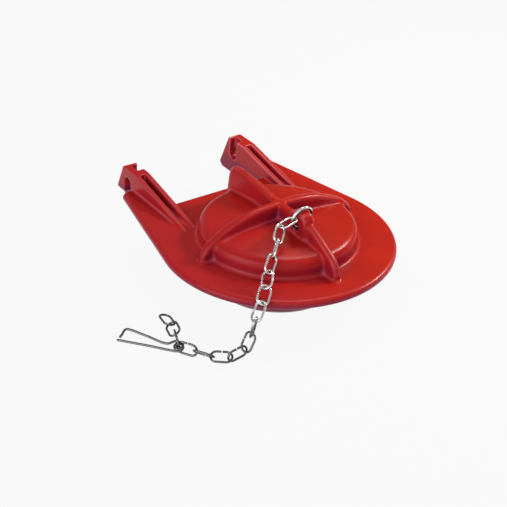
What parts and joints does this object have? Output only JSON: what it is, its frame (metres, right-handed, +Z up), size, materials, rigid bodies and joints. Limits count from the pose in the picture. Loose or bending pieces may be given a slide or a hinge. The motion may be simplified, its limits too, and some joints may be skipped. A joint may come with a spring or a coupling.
{
  "type": "toilet flapper",
  "caption": "Red rubber toilet flapper with a domed disc, crossed ribs, two slotted hinge arms, and a lift chain that ends in a wire clip.",
  "frame": {"origin": "middle of the hinge line, halfway between the two slotted ears, where the pegs of the overflow pipe sit", "axes": "+X along the hinge line to the right arm, +Y backwards past the overflow pipe, +Z up with the disc level"},
  "size_m": [0.1103, 0.1109, 0.0366],
  "materials": {
    "red_rubber": "moulded, slight sheen",
    "steel_wire": "bright drawn wire"
  },
  "bodies": {
    "root": {"flapper_body": "red_rubber", "chain_ring": "steel_wire", "chain_link_01": "steel_wire", "chain_link_02": "steel_wire", "chain_link_03": "steel_wire", "chain_link_04": "steel_wire", "chain_link_05": "steel_wire", "chain_link_06": "steel_wire", "chain_link_07": "steel_wire", "chain_link_08": "steel_wire", "chain_link_09": "steel_wire", "chain_link_10": "steel_wire", "chain_link_11": "steel_wire", "chain_link_12": "steel_wire", "chain_link_13": "steel_wire", "tail_link_1": "steel_wire", "tail_link_2": "steel_wire", "tail_link_3": "steel_wire", "wire_clip": "steel_wire"}
  },
  "joints": []
}
